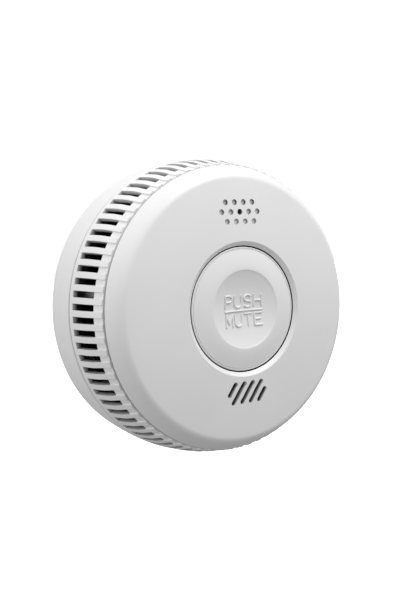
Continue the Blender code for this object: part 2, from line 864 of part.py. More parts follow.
def build_contacts(materials, middle):
    """Two sheet contacts that press on the studs, with tails that reach the board's face."""
    upper = BATTERY_CENTRE_Z + TERMINAL_OFFSET
    lower = BATTERY_CENTRE_Z - TERMINAL_OFFSET
    low, high = middle - 4.0, middle + 4.0
    foot = BOARD_FACE
    upper_outline = [
        (upper - 4, low),
        (upper + 4, low),
        (upper + 4, 11.0),
        (-5.0, 11.0),
        (-5.0, foot),
        (-3.0, foot),
        (-3.0, 13.0),
        (upper + 4, 13.0),
        (upper + 4, high),
        (upper - 4, high),
    ]
    lower_outline = [
        (lower - 4, low),
        (lower + 4, low),
        (lower + 4, 17.4),
        (-1.6, 17.4),
        (-1.6, foot),
        (0.4, foot),
        (0.4, 19.4),
        (lower + 2, 19.4),
        (lower + 2, high),
        (lower - 4, high),
    ]
    return [
        sheet_contact("battery_contact_positive", upper_outline, materials["steel"]),
        sheet_contact("battery_contact_negative", lower_outline, materials["steel"]),
    ]


def sheet_contact(name, outline, material):
    """Flat strip cut to a (z, height) outline, standing across the end of the bay."""
    left, right = CONTACT_X
    bm = bmesh.new()
    add_loft(bm, [point(left, h, z) for z, h in outline], [point(right, h, z) for z, h in outline])
    return make_object(name, bm, material)


# ---------------------------------------------------------------- assembly


def build():
    clear_scene()
    materials = make_materials()
    twist_axis = pivot("twist_axis", 0, BACK_WALL[0], 0)
    button_axis = pivot("button_axis", 0, WELL_EDGE, 0, twist_axis)
    plunger_axis = pivot("plunger_axis", STEM_AT[0], BOARD_FACE, STEM_AT[1], twist_axis)

    build_mounting_bracket(materials)
    alarm = [
        build_rear_housing(materials),
        build_vent_ring(materials),
        build_front_cover(materials),
        build_circuit_board(materials),
    ]
    alarm += build_screws(materials)
    alarm += build_electronics(materials)
    alarm += build_smoke_chamber(materials)
    alarm += build_sounder(materials)
    alarm += build_battery(materials)
    for piece in alarm:
        hang(piece, twist_axis)
    hang(build_test_button(materials), button_axis)
    hang(build_switch_plunger(materials), plunger_axis)


build()
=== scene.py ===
"""Looks of the round smoke alarm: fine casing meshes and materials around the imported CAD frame.

The wall is the plane y = 0 and the alarm stands out of it towards -Y. Detail sizes are in
millimetres, a "height" is the distance from the wall, and point() turns both into metres.
"""

import json
import math
from collections import namedtuple

import bmesh
import bpy
from mathutils import Matrix, Vector


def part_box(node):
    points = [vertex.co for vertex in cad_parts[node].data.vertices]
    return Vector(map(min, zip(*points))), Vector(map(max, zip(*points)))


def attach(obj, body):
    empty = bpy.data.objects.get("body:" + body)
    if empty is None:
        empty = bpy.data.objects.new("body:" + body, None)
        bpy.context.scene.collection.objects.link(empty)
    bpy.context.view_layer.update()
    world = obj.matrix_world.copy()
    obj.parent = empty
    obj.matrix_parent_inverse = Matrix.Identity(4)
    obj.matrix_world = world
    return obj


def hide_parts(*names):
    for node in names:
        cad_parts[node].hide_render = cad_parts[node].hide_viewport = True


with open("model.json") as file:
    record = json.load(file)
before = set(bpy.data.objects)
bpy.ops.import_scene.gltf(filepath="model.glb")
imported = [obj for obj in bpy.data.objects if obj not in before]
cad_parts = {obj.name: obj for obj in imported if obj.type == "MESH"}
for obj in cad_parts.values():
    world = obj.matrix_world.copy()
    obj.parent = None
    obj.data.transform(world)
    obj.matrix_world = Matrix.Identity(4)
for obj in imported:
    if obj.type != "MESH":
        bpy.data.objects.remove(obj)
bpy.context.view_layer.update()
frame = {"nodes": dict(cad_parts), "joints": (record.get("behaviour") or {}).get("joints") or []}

MM = 0.001


# ---------------------------------------------------------------- sizes read from the frame


def extent(node):
    """(outer radius, lowest height, highest height) of a CAD node, in millimetres."""
    low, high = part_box(node)
    return high.x / MM, -high.y / MM, -low.y / MM


COVER_RADIUS, _, COVER_TOP = extent("front_cover")
RING_RADIUS, RING_LOW, RING_HIGH = extent("vent_ring")
HOUSING_RADIUS, HOUSING_LOW, _ = extent("rear_housing")
BRACKET_RADIUS, _, HOOK_TOP = extent("mounting_bracket")
BUTTON_RADIUS, _, BUTTON_TOP = extent("test_button")

# Front cover: a domed face, a rounded rim and a sloping bevel around the button's well
DOME_CURVE = 257.0
FACE_END = 41.8
RIM_RADIUS = COVER_RADIUS - 0.35
UNDERSIDE = 38.5
COVER_GROOVE = 0.5
WELL_RADIUS = BUTTON_RADIUS + 0.4
WELL_EDGE = 40.45
BEVEL_RADIUS = BUTTON_RADIUS + 1.75

# Sensor dots over the button and sound slots under it. The middle dot is a hole, the others dimples
DOT_PITCH = 3.51
DOT_RADIUS = 0.95
DOT_ROWS = ((4, 3.10), (5, 0.0), (4, -3.10))
DOT_CENTRE_Z = 31.2
DIMPLE_DEPTH = 0.8
SOUND_SLOT_PITCH = 3.41
SOUND_SLOT_WIDTH = 1.5
SOUND_SLOT_TOP = -24.15
SOUND_SLOT_BOTTOM = -30.05
SOUND_SLOT_SLOPE = 0.70
SHORT_SLOT_CUT = 0.45

# Vent ring: slots between two bands, narrowing to its front edge, the nose
NOSE_RADIUS = RIM_RADIUS + 0.6
SLOT_COUNT = 76
SLOT_REAR = RING_LOW + 2.0
SLOT_FRONT = RING_HIGH - 4.3
SLOT_FRONT_RADIUS = NOSE_RADIUS + 0.95
SLOT_PHASE = 0.55
NOTCH_DEPTH = 0.4
RING_THICKNESS = 1.6

# Button: a shallow dish inside a shoulder that falls to the edge
DISH_RADIUS = 12.45
DISH_FLOOR = BUTTON_TOP - 2.05
DISH_RIM = BUTTON_TOP - 0.14
SHOULDER_START = DISH_RADIUS + 0.35
SHOULDER_DROP = 1.22
WORD_WIDTH = 14.9
LETTER_SHARE = 0.74
STROKE_WIDTH = 0.60
STROKE_RELIEF = 0.44
DIVIDER_Z = -0.54

# Rear housing, bracket and what joins them
HOUSING_GROOVE = 0.5
LIP_INNER = 47.6
HOOK_ANGLES = (-22.0, 98.0, 218.0)
HOOK_WIDTH = 8.0
HOOK_STEM = (41.7, 43.7)
HOOK_HEAD_INNER = 39.7
TWIST = frame["joints"][0]["range_deg"][1]
SCREW_ANGLES = (50.0, 170.0, 290.0)
SCREW_CIRCLE = 41.3
POST_RADIUS = 2.7
SCREW_HOLE_RADIUS = 1.3
KEYHOLE_X = 30.0
KEYHOLE_RISE = 10.0
KEYHOLE_HEAD_RADIUS = 4.2
KEYHOLE_SLOT_HALF = 2.3
EDGE_BEVEL = 0.12


# ---------------------------------------------------------------- mesh helpers


def point(x, height, z):
    return Vector((x, -height, z)) * MM


def on_circle(radius, degrees):
    angle = math.radians(degrees)
    return radius * math.cos(angle), radius * math.sin(angle)


def arc_on_circle(radius, start, end, steps):
    return [on_circle(radius, start + (end - start) * i / steps) for i in range(steps + 1)]


def around(radius, degrees, height):
    x, z = on_circle(radius, degrees)
    return point(x, height, z)


def rounded(corners, steps=4):
    """An outline of (a, b, radius) corners, with each corner that has a radius turned into an arc."""
    outline = []
    count = len(corners)
    for i, (a, b, radius) in enumerate(corners):
        here = Vector((a, b))
        if radius <= 0:
            outline.append((a, b))
            continue
        before = (Vector(corners[i - 1][:2]) - here).normalized()
        after = (Vector(corners[(i + 1) % count][:2]) - here).normalized()
        half = before.angle(after) / 2
        reach = radius / math.tan(half)
        centre = here + (before + after).normalized() * radius / math.sin(half)
        start = here + before * reach - centre
        end = here + after * reach - centre
        sweep = start.angle_signed(end)
        for k in range(steps + 1):
            outline.append(tuple(centre + Matrix.Rotation(-sweep * k / steps, 2) @ start))
    return outline


def bridge(bm, ring, following):
    """Faces between two loops of vertices. A loop may be one vertex repeated."""
    for i in range(len(ring)):
        j = (i + 1) % len(ring)
        corners = list(dict.fromkeys((ring[i], ring[j], following[j], following[i])))
        if len(corners) > 2:
            bm.faces.new(corners)


def add_turned(bm, profile, segments, at=(0.0, 0.0)):
    """Turns a closed (radius, height) outline about the depth axis through (x, z)."""
    offset = point(at[0], 0.0, at[1])
    rings = []
    for radius, height in profile:
        if radius == 0:
            rings.append([bm.verts.new(point(0, height, 0) + offset)] * segments)
            continue
        places = [around(radius, 360 * i / segments, height) for i in range(segments)]
        rings.append([bm.verts.new(place + offset) for place in places])
    for ring, following in zip(rings, rings[1:] + rings[:1]):
        bridge(bm, ring, following)


def add_cylinder(bm, at, radius, height_range, segments):
    low, high = height_range
    add_turned(bm, [(0, high), (radius, high), (radius, low), (0, low)], segments, at)


def add_loft(bm, loops):
    """A closed solid through loops of vertices, with its first and last loop filled."""
    bm.faces.new(loops[0][::-1])
    bm.faces.new(loops[-1])
    for loop, following in zip(loops, loops[1:]):
        bridge(bm, loop, following)


def add_prism(bm, outline, low, high):
    add_loft(bm, [[bm.verts.new(point(x, height, z)) for x, z in outline] for height in (low, high)])


def add_box(bm, x_range, height_range, z_range):
    outline = [(x_range[i], z_range[j]) for i, j in ((0, 0), (1, 0), (1, 1), (0, 1))]
    add_prism(bm, outline, *height_range)


def add_arc_solid(bm, section, start, end, steps):
    """Sweeps a (radius, height) section through part of a turn."""
    loops = []
    for i in range(steps + 1):
        degrees = start + (end - start) * i / steps
        loops.append([bm.verts.new(around(r, degrees, h)) for r, h in section])
    add_loft(bm, loops)


def add_flared(bm, outline, low, high, flare):
    """A prism whose top edge opens out in a quarter round, to cut a hole with a softened rim."""
    steps = 4
    past_face = high + 1.0
    levels = [(low, 0.0)]
    for k in range(steps + 1):
        angle = math.pi / 2 * k / steps
        levels.append((high - flare * (1 - math.sin(angle)), flare * (1 - math.cos(angle))))
    levels.append((past_face, flare))
    loops = []
    for height, growth in levels:
        loops.append([bm.verts.new(point(x, height, z)) for x, z in grown_outline(outline, growth)])
    add_loft(bm, loops)


def outline_middle(outline):
    return sum((Vector(p) for p in outline), Vector((0.0, 0.0))) / len(outline)


def grown_outline(outline, growth):
    """Moves each point of a convex outline outwards along its corner's normal."""
    centre = outline_middle(outline)
    grown = []
    count = len(outline)
    for i in range(count):
        before, here, after = (Vector(outline[(i + k) % count]) for k in (-1, 0, 1))
        along = (after - here).normalized() + (here - before).normalized()
        normal = Vector((along.y, -along.x)).normalized()
        if normal.dot(here - centre) < 0:
            normal = -normal
        grown.append(tuple(here + normal * growth))
    return grown


def make_object(name, bm):
    bmesh.ops.recalc_face_normals(bm, faces=bm.faces)
    if bm.calc_volume(signed=True) < 0:
        bmesh.ops.reverse_faces(bm, faces=bm.faces)
    mesh = bpy.data.meshes.new(name)
    bm.to_mesh(mesh)
    bm.free()
    obj = bpy.data.objects.new(name, mesh)
    bpy.context.scene.collection.objects.link(obj)
    return obj


def turned(name, profile, segments=240):
    bm = bmesh.new()
    add_turned(bm, profile, segments)
    return make_object(name, bm)


def combine(piece, name, bm, operation):
    """Applies a Boolean with a helper mesh, which is removed again."""
    helper = make_object(name, bm)
    modifier = piece.modifiers.new(name, "BOOLEAN")
    modifier.operation = operation
    modifier.object = helper
    apply_modifiers(piece)
    bpy.data.objects.remove(helper)


def apply_modifiers(obj):
    graph = bpy.context.evaluated_depsgraph_get()
    mesh = bpy.data.meshes.new_from_object(obj.evaluated_get(graph))
    obj.modifiers.clear()
    old = obj.data
    obj.data = mesh
    bpy.data.meshes.remove(old)


def cut(piece, name, bm):
    combine(piece, name, bm, "DIFFERENCE")


def add_to(piece, name, bm):
    combine(piece, name, bm, "UNION")


def soften_edges(obj):
    modifier = obj.modifiers.new("bevel", "BEVEL")
    modifier.width = EDGE_BEVEL * MM
    modifier.segments = 2
    modifier.limit_method = "ANGLE"
    modifier.angle_limit = math.radians(35.0)
    modifier.use_clamp_overlap = True
    apply_modifiers(obj)


def finish_shading(obj, sharp=38.0):
    """Smooth shading, crisp over the sharp angle and weighted so that flat faces stay flat."""
    obj.data.shade_smooth()
    obj.data.set_sharp_from_angle(angle=math.radians(sharp))
    modifier = obj.modifiers.new("weighted normals", "WEIGHTED_NORMAL")
    modifier.keep_sharp = True
    modifier.weight = 60


# ---------------------------------------------------------------- materials


class Nodes:
    """Small helper that adds and links the nodes of one material. Distances in it are in metres."""

    def __init__(self, name):
        self.material = bpy.data.materials.new(name)
        self.material.use_nodes = True
        self.tree = self.material.node_tree
        self.shader = self.tree.nodes["Principled BSDF"]
        self.place = self.add("ShaderNodeTexCoord").outputs["Object"]

    def add(self, kind, **inputs):
        node = self.tree.nodes.new(kind)
        for key, value in inputs.items():
            self.feed(node.inputs[key.replace("_", " ")], value)
        return node

    def feed(self, socket, value):
        if isinstance(value, bpy.types.NodeSocket):
            self.tree.links.new(value, socket)
        else:
            socket.default_value = value

    def noise(self, scale, detail=3.0):
        node = self.add("ShaderNodeTexNoise", Vector=self.place, Scale=scale, Detail=detail)
        return node.outputs["Fac"]

    def remap(self, value, low, high, from_low=0.0, from_high=1.0):
        node = self.add("ShaderNodeMapRange", Value=value)
        node.inputs["From Min"].default_value = from_low
        node.inputs["From Max"].default_value = from_high
        node.inputs["To Min"].default_value = low
        node.inputs["To Max"].default_value = high
        return node.outputs["Result"]

    def blend(self, factor, first, second):
        node = self.tree.nodes.new("ShaderNodeMix")
        node.data_type = "RGBA"
        self.feed(node.inputs["Factor"], factor)
        self.feed(node.inputs[6], first)
        self.feed(node.inputs[7], second)
        return node.outputs[2]

    def bump(self, height, distance, strength=1.0):
        node = self.add("ShaderNodeBump", Height=height, Distance=distance, Strength=strength)
        return node.outputs["Normal"]

    def set(self, **inputs):
        """Feeds the shader's own sockets and gives back the finished material."""
        for key, value in inputs.items():
            self.feed(self.shader.inputs[key.replace("_", " ")], value)
        return self.material


def grey(level):
    return (level, level, level, 1.0)


def satin_abs(name, level, roughness, grain=0.000012):
    """Moulded white ABS: fine spark-eroded grain, faint cloudiness and uneven sheen."""
    nodes = Nodes(name)
    broad = nodes.remap(nodes.noise(38.0, 2.0), 0.0, 1.0, 0.35, 0.65)
    colour = nodes.blend(broad, grey(level - 0.012), grey(level + 0.012))
    fine = nodes.noise(2600.0, 2.0)
    sheen = nodes.remap(nodes.noise(160.0, 4.0), roughness - 0.04, roughness + 0.05)
    normal = nodes.bump(fine, grain)
    return nodes.set(Base_Color=colour, Roughness=sheen, Normal=normal, IOR=1.52)


def slot_depth(nodes):
    """How deep a point lies behind the vent ring's tapered outer surface, 1 at the inner surface."""
    shade_start = 0.0003
    flat = nodes.add("ShaderNodeVectorMath", Vector=nodes.place)
    flat.operation = "MULTIPLY"
    flat.inputs[1].default_value = (1.0, 0.0, 1.0)
    radius = nodes.add("ShaderNodeVectorMath", Vector=flat.outputs["Vector"])
    radius.operation = "LENGTH"
    split = nodes.add("ShaderNodeSeparateXYZ", Vector=nodes.place)
    surface = nodes.remap(
        split.outputs["Y"], RING_RADIUS * MM, SLOT_FRONT_RADIUS * MM, -SLOT_REAR * MM, -SLOT_FRONT * MM
    )
    behind = nodes.add("ShaderNodeMath")
    behind.operation = "SUBTRACT"
    nodes.feed(behind.inputs[0], surface)
    nodes.feed(behind.inputs[1], radius.outputs["Value"])
    return nodes.remap(behind.outputs[0], 0.0, 1.0, shade_start, RING_THICKNESS * MM)


def hole_depth(nodes):
    """How deep a point lies in the cover's holes, 1 at the bottom of a dimple."""
    mouth, bottom = 40.5, 39.6
    split = nodes.add("ShaderNodeSeparateXYZ", Vector=nodes.place)
    return nodes.remap(split.outputs["Y"], 0.0, 1.0, -mouth * MM, -bottom * MM)


def shaded_wall(name, outer, inner, depth):
    """Moulded wall of a narrow opening, with painted shade that darkens it with depth."""
    nodes = Nodes(name)
    speckle = nodes.noise(900.0, 3.0)
    unshaded_tone = nodes.blend(speckle, grey(outer - 0.02), grey(outer + 0.01))
    painted_shade_tone = nodes.blend(speckle, grey(inner - 0.02), grey(inner + 0.03))
    colour = nodes.blend(depth(nodes), unshaded_tone, painted_shade_tone)
    return nodes.set(Base_Color=colour, Roughness=nodes.remap(speckle, 0.45, 0.6), IOR=1.52)


def matt_black(name):
    nodes = Nodes(name)
    colour = nodes.blend(nodes.noise(220.0), (0.010, 0.010, 0.011, 1.0), (0.030, 0.030, 0.032, 1.0))
    normal = nodes.bump(nodes.noise(3000.0, 2.0), 0.00002)
    sheen = nodes.remap(nodes.noise(300.0), 0.5, 0.75)
    return nodes.set(Base_Color=colour, Roughness=sheen, Normal=normal)


def solder_mask(name):
    """Green board: lighter strips where copper runs under the mask."""
    nodes = Nodes(name)
    brick = nodes.add("ShaderNodeTexBrick", Scale=260.0)
    turn = nodes.add("ShaderNodeMapping", Vector=nodes.place)
    turn.inputs["Rotation"].default_value = (math.radians(90), 0.0, 0.0)
    nodes.feed(brick.inputs["Vector"], turn.outputs["Vector"])
    brick.inputs["Color1"].default_value = (0.010, 0.110, 0.040, 1.0)
    brick.inputs["Color2"].default_value = (0.020, 0.170, 0.060, 1.0)
    brick.inputs["Mortar"].default_value = (0.030, 0.240, 0.090, 1.0)
    brick.inputs["Mortar Size"].default_value = 0.05
    cloud = nodes.noise(90.0)
    colour = nodes.blend(nodes.remap(cloud, 0.0, 0.3), brick.outputs["Color"], (0.004, 0.060, 0.024, 1.0))
    normal = nodes.bump(brick.outputs["Fac"], 0.00003, 0.6)
    return nodes.set(Base_Color=colour, Roughness=nodes.remap(cloud, 0.28, 0.42), Normal=normal)


def metal(name, dark, light, roughness, stretch=(1.0, 1.0, 1.0)):
    """Streaked metal. The stretch says along which axis the streaks are short."""
    nodes = Nodes(name)
    mapping = nodes.add("ShaderNodeMapping", Vector=nodes.place)
    mapping.inputs["Scale"].default_value = stretch
    nodes.place = mapping.outputs["Vector"]
    streak = nodes.noise(700.0, 4.0)
    colour = nodes.blend(streak, dark, light)
    spread = nodes.remap(nodes.noise(300.0), roughness - 0.06, roughness + 0.10)
    normal = nodes.bump(streak, 0.00001)
    return nodes.set(Base_Color=colour, Metallic=1.0, Roughness=spread, Normal=normal)


def woven_screen(name):
    """Fine wire cloth: crossing wires as bright lines over black."""
    nodes = Nodes(name)
    waves = []
    for direction in ("X", "Y"):
        wave = nodes.add("ShaderNodeTexWave", Vector=nodes.place, Scale=260.0)
        wave.bands_direction = direction
        waves.append(wave.outputs["Fac"])
    highest = nodes.add("ShaderNodeMath")
    highest.operation = "MAXIMUM"
    nodes.feed(highest.inputs[0], waves[0])
    nodes.feed(highest.inputs[1], waves[1])
    weave = highest.outputs[0]
    wires = nodes.remap(weave, 0.0, 1.0, 0.55, 0.95)
    colour = nodes.blend(wires, (0.01, 0.01, 0.01, 1.0), (0.24, 0.24, 0.25, 1.0))
    return nodes.set(Base_Color=colour, Metallic=0.7, Roughness=0.45, Normal=nodes.bump(weave, 0.00008))


def tinted_plastic(name, dark, light, roughness):
    nodes = Nodes(name)
    colour = nodes.blend(nodes.noise(260.0), dark, light)
    normal = nodes.bump(nodes.noise(1500.0), 0.00001)
    sheen = nodes.remap(nodes.noise(400.0), roughness - 0.05, roughness + 0.08)
    return nodes.set(Base_Color=colour, Roughness=sheen, Normal=normal)


def clear_plastic(name, tint):
    nodes = Nodes(name)
    colour = nodes.blend(nodes.noise(200.0), tint, grey(0.95))
    normal = nodes.bump(nodes.noise(900.0), 0.000008)
    sheen = nodes.remap(nodes.noise(500.0), 0.04, 0.14)
    return nodes.set(
        Base_Color=colour, Roughness=sheen, Transmission_Weight=0.85, IOR=1.49, Normal=normal
    )


def battery_wrap(name):
    """Blank battery can: dark body with a copper-coloured end band."""
    nodes = Nodes(name)
    split = nodes.add("ShaderNodeSeparateXYZ", Vector=nodes.place)
    band = nodes.remap(split.outputs["X"], 0.0, 1.0, 0.0098, 0.0102)
    colour = nodes.blend(band, (0.015, 0.016, 0.020, 1.0), (0.55, 0.26, 0.10, 1.0))
    scuff = nodes.remap(nodes.noise(700.0, 5.0), 0.22, 0.40)
    normal = nodes.bump(nodes.noise(900.0), 0.00001)
    return nodes.set(Base_Color=colour, Metallic=0.55, Roughness=scuff, Normal=normal)


MATERIALS = {
    "cover": satin_abs("satin_white_cover", 0.78, 0.40),
    "ring": satin_abs("satin_white_ring", 0.79, 0.44),
    "housing": satin_abs("satin_white_housing", 0.78, 0.42),
    "button": satin_abs("satin_white_button", 0.79, 0.38),
    "lettering": satin_abs("satin_white_lettering", 0.79, 0.36),
    "bracket": satin_abs("white_bracket", 0.74, 0.52, 0.00002),
    # Painted shade: slot and hole walls darken with depth, and upward-facing slot walls darken most
    "slot_wall": shaded_wall("vent_slot_walls_painted_shade", 0.70, 0.24, slot_depth),
    "slot_floor": shaded_wall("upward_slot_walls_painted_shade", 0.34, 0.05, slot_depth),
    "hole_wall": shaded_wall("cover_hole_walls_painted_shade", 0.55, 0.07, hole_depth),
    # Painted shade: the floor of the seam between housing and ring is a darker grey
    "seam": satin_abs("seam_floor_painted_shade", 0.50, 0.50),
    # Painted shade: flat black on inner faces that would only lie in shadow
    "inside": matt_black("painted_shade_interior"),
    "black": matt_black("matt_black_moulding"),
    "board": solder_mask("green_solder_mask"),
    "steel": metal("zinc_plated_steel", (0.42, 0.42, 0.40, 1.0), (0.66, 0.66, 0.64, 1.0), 0.30),
    "brass": metal("piezo_brass", (0.50, 0.33, 0.12, 1.0), (0.78, 0.58, 0.26, 1.0), 0.28),
    "copper": metal(
        "copper_winding", (0.32, 0.11, 0.04, 1.0), (0.62, 0.30, 0.14, 1.0), 0.34, (1.0, 9.0, 1.0)
    ),
    "screen": woven_screen("woven_wire_screen"),
    "sleeve": tinted_plastic(
        "capacitor_sleeve", (0.012, 0.012, 0.030, 1.0), (0.035, 0.035, 0.070, 1.0), 0.26
    ),
    "red": tinted_plastic("red_lens", (0.45, 0.01, 0.01, 1.0), (0.70, 0.05, 0.03, 1.0), 0.16),
    "red_wire": tinted_plastic("red_insulation", (0.38, 0.012, 0.010, 1.0), (0.56, 0.03, 0.02, 1.0), 0.42),
    "black_wire": tinted_plastic(
        "black_insulation", (0.010, 0.010, 0.010, 1.0), (0.03, 0.03, 0.03, 1.0), 0.42
    ),
    "clear": clear_plastic("clear_acrylic", (0.84, 0.90, 0.94, 1.0)),
    "battery": battery_wrap("blank_battery_wrap"),
}


def dress(obj, material):
    obj.data.materials.clear()
    obj.data.materials.append(MATERIALS[material])


def publish(obj, material, body, node=None):
    """Gives a finished piece its material, its CAD body and the CAD node that it stands for."""
    dress(obj, material)
    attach(obj, body)
    if node:
        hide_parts(node)


# Where a face lies, and how far its normal points outward, towards the wall and up
Place = namedtuple("Place", "radius height outward back up")


def paint_faces(obj, material, is_chosen):
    """Gives another material to the faces whose Place is chosen."""
    obj.data.materials.append(MATERIALS[material])
    for face in obj.data.polygons:
        x, y, z = face.center / MM
        radius = math.hypot(x, z)
        normal = face.normal
        outward = (normal.x * x + normal.z * z) / max(radius, 0.001)
        if is_chosen(Place(radius, -y, outward, normal.y, normal.z)):
            face.material_index = len(obj.data.materials) - 1


# ---------------------------------------------------------------- front cover


def dome_height(radius):
    """Height of the cover's domed face."""
    return COVER_TOP + (BEVEL_RADIUS**2 - radius**2) / (2 * DOME_CURVE)


def bezier(p0, p1, p2, p3, steps):
    """Points of a cubic curve, both ends included."""
    points = []
    for k in range(steps + 1):
        t = k / steps
        weights = ((1 - t) ** 3, 3 * t * (1 - t) ** 2, 3 * t * t * (1 - t), t**3)
        points.append(tuple(sum(w * p[i] for w, p in zip(weights, (p0, p1, p2, p3))) for i in (0, 1)))
    return points


def build_front_cover():
    """Domed shell with its well, its posts for the housing's screws, and its dots and slots."""
    lip = RING_HIGH + COVER_GROOVE
    edge = dome_height(FACE_END)
    outer = [(r, dome_height(r)) for r in (BEVEL_RADIUS, 22.2, 24.0, 27.0, 30.0, 33.0, 36.0, 38.5, 40.5)]
    outer += bezier((FACE_END, edge), (43.9, edge - 0.35), (44.9, 36.6), (RIM_RADIUS, lip + 0.35), 20)
    outer += [(RIM_RADIUS - 0.08, lip + 0.1), (RIM_RADIUS - 0.3, lip), (RIM_RADIUS - 0.45, lip - 0.08)]

    seat = RING_HIGH + 0.04
    spigot_end = RING_HIGH - 2.2
    collar_radius, collar_end = WELL_RADIUS + 1.15, UNDERSIDE - 1.9
    inner = [
        (RIM_RADIUS - 0.45, seat),
        (45.4, seat),
        (45.4, spigot_end),
        (43.6, spigot_end),
        (43.6, 34.6),
        (41.0, 36.6),
        (38.0, 37.2),
        (32.0, UNDERSIDE),
        (collar_radius, UNDERSIDE),
        (collar_radius, collar_end),
        (WELL_RADIUS, collar_end),
        (WELL_RADIUS, WELL_EDGE),
    ]
    cover = turned("cover_shell", outer + inner)

    root = 37.3
    end = 12.3
    hole_bottom = 20.0
    posts = bmesh.new()
    for degrees in SCREW_ANGLES:
        profile = [
            (0, root),
            (POST_RADIUS, root),
            (POST_RADIUS, end),
            (SCREW_HOLE_RADIUS, end),
            (SCREW_HOLE_RADIUS, hole_bottom),
            (0, hole_bottom),
        ]
        add_turned(posts, profile, 32, on_circle(SCREW_CIRCLE, degrees))
    add_to(cover, "posts", posts)

    below = UNDERSIDE - 1
    holes = bmesh.new()
    for x, z in dot_positions():
        face = dome_height(math.hypot(x, z))
        bottom = below if (x, z) == (0, DOT_CENTRE_Z) else face - DIMPLE_DEPTH
        outline = [(x + dx, z + dz) for dx, dz in (on_circle(DOT_RADIUS, 15 * i) for i in range(24))]
        add_flared(holes, outline, bottom, face, 0.07)
    for outline in sound_slot_outlines():
        add_flared(holes, outline, below, dome_height(outline_middle(outline).length), 0.14)
    cut(cover, "holes", holes)
    finish_shading(cover, 24.0)
    publish(cover, "cover", "alarm", "front_cover")
    # Painted shade: the dot and slot walls darken with depth, and inner faces below the underside are black
    paint_faces(cover, "hole_wall", is_hole_wall)
    paint_faces(cover, "inside", is_cover_inside)


def is_hole_wall(place):
    """Walls of the dots and sound slots, in the part of the face between bevel and rim."""
    in_face = 22.5 < place.radius < 40.5 and place.height > UNDERSIDE + 0.3
    return in_face and abs(place.back) < 0.3


def is_cover_inside(place):
    """What faces inwards or towards the wall, below the shell's underside."""
    return place.height < UNDERSIDE + 0.3 and (place.outward < 0 or place.back > 0.2)


def dot_positions():
    places = []
    for count, rise in DOT_ROWS:
        for i in range(count):
            places.append(((i - (count - 1) / 2) * DOT_PITCH, DOT_CENTRE_Z + rise))
    return places


def sound_slot_outlines():
    """Five slanted slots with round ends. The outer two are cut short at opposite ends."""
    middle = (SOUND_SLOT_TOP + SOUND_SLOT_BOTTOM) / 2
    length = SOUND_SLOT_TOP - SOUND_SLOT_BOTTOM
    lean = math.degrees(math.atan2(1.0, SOUND_SLOT_SLOPE))
    outlines = []
    for i in range(-2, 3):
        top = SOUND_SLOT_TOP - (SHORT_SLOT_CUT * length if i == 2 else 0)
        bottom = SOUND_SLOT_BOTTOM + (SHORT_SLOT_CUT * length if i == -2 else 0)
        outline = []
        for z, start in ((top, lean - 90), (bottom, lean + 90)):
            x = i * SOUND_SLOT_PITCH + (z - middle) * SOUND_SLOT_SLOPE
            for k in range(11):
                dx, dz = on_circle(SOUND_SLOT_WIDTH / 2, start + 18 * k)
                outline.append((x + dx, z + dz))
        outlines.append(outline)
    return outlines


# ---------------------------------------------------------------- vent ring


def build_vent_ring():
    """Ribs and slots by turns. Each slot has soft front corners and a notch ahead of it."""
    stations = (
        (RING_LOW, RING_RADIUS),
        (SLOT_REAR, RING_RADIUS - 0.1),
        (SLOT_REAR + 3.5, RING_RADIUS - 0.35),
        (SLOT_REAR + 7.2, RING_RADIUS - 0.8),
        (SLOT_FRONT, SLOT_FRONT_RADIUS),
        (RING_HIGH, NOSE_RADIUS),
    )
    front = len(stations) - 2
    pitch = 360 / SLOT_COUNT
    bm = bmesh.new()
    corners = []
    for index in range(2 * SLOT_COUNT):
        slot, side = divmod(index, 2)
        degrees = SLOT_PHASE + slot * pitch + pitch / 4 * (1 if side else -1)
        inner = [bm.verts.new(around(r - RING_THICKNESS, degrees, h)) for h, r in stations]
        outer = [bm.verts.new(around(r, degrees, h)) for h, r in stations]
        notch = [bm.verts.new(around(r - NOTCH_DEPTH, degrees, h)) for h, r in stations[front:]]
        corners.append((inner, outer, notch))

    for index, (inner, outer, notch) in enumerate(corners):
        inner_next, outer_next, notch_next = corners[(index + 1) % len(corners)]
        in_slot = index % 2 == 0
        for s in (0, front) if in_slot else range(front + 1):
            bm.faces.new((inner[s], inner[s + 1], inner_next[s + 1], inner_next[s]))
        for s in (0,) if in_slot else range(front + 1):
            bm.faces.new((outer[s], outer_next[s], outer_next[s + 1], outer[s + 1]))
        bm.faces.new((inner[0], inner_next[0], outer_next[0], outer[0]))
        if in_slot:
            bm.faces.new((outer[1], outer_next[1], inner_next[1], inner[1]))
            bm.faces.new((inner[front], inner_next[front], notch_next[0], notch[0]))
            bm.faces.new((notch[0], notch_next[0], notch_next[1], notch[1]))
            bm.faces.new((inner[-1], notch[1], notch_next[1], inner_next[-1]))
        else:
            bm.faces.new((inner[-1], notch[1], outer[-1], outer_next[-1], notch_next[1], inner_next[-1]))
        wall = outer[1 : front + 1] + [notch[0]] + inner[1 : front + 1][::-1]
        bm.faces.new(wall)
        bm.faces.new((outer[front], outer[-1], notch[1], notch[0]))

    bm.edges.ensure_lookup_table()
    front_corners = [bm.edges.get((inner[front], notch[0])) for inner, _, notch in corners]
    bmesh.ops.bevel(bm, geom=front_corners, offset=0.55 * MM, segments=3, profile=0.5, affect="EDGES")
    ring = make_object("vent_ribs", bm)
    soften_edges(ring)
    finish_shading(ring)
    publish(ring, "ring", "alarm", "vent_ring")
    # Painted shade: slot walls darken with depth, upward-facing ones most, and the inner faces are black
    paint_faces(ring, "slot_wall", is_slot_wall)
    paint_faces(ring, "slot_floor", lambda place: is_slot_wall(place) and place.up > 0.2)
    paint_faces(ring, "inside", lambda place: place.outward < -0.5)


def is_slot_wall(place):
    return SLOT_REAR - 0.3 < place.height < SLOT_FRONT + 0.1 and abs(place.outward) < 0.5


# ---------------------------------------------------------------- rear housing


